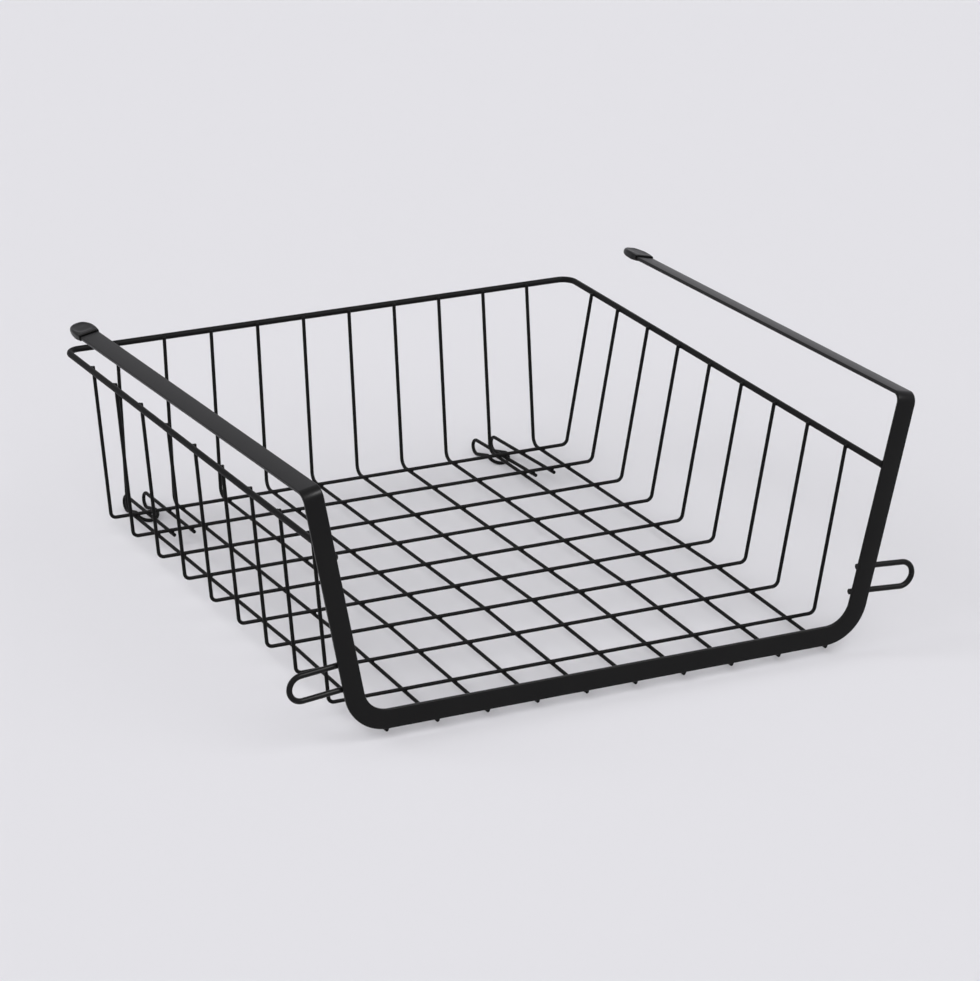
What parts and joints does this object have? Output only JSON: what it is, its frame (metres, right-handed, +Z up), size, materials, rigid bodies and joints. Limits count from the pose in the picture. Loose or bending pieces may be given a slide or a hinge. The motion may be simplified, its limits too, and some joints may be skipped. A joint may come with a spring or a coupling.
{
  "type": "under-shelf basket",
  "caption": "Black wire basket that hangs under a shelf on the flat arms of a bent-bar frame, with a welded grid, thick rim, side loops and folded rear hooks.",
  "frame": {"origin": "under the middle of the outline, on the level that the rear hooks stand on", "axes": "+X to the right seen from the open front, +Y from the front bar to the back wall, +Z up"},
  "size_m": [0.4528, 0.4342, 0.1747],
  "materials": {
    "black_coat": "satin black powder coat",
    "cap_plastic": "soft satin"
  },
  "bodies": {
    "root": {"front_frame": "black_coat", "rim_wire": "black_coat", "cross_wire_1": "black_coat", "cross_wire_2": "black_coat", "cross_wire_3": "black_coat", "cross_wire_4": "black_coat", "cross_wire_5": "black_coat", "cross_wire_6": "black_coat", "cross_wire_7": "black_coat", "cross_wire_8": "black_coat", "cross_wire_9": "black_coat", "long_wire_1": "black_coat", "long_wire_2": "black_coat", "long_wire_3": "black_coat", "long_wire_4": "black_coat", "long_wire_5": "black_coat", "long_wire_6": "black_coat", "long_wire_7": "black_coat", "long_wire_8": "black_coat", "long_wire_9": "black_coat", "long_wire_10": "black_coat", "left_front_loop": "black_coat", "right_front_loop": "black_coat", "left_rear_hook": "black_coat", "right_rear_hook": "black_coat", "left_arm_cap": "cap_plastic", "right_arm_cap": "cap_plastic"}
  },
  "joints": []
}
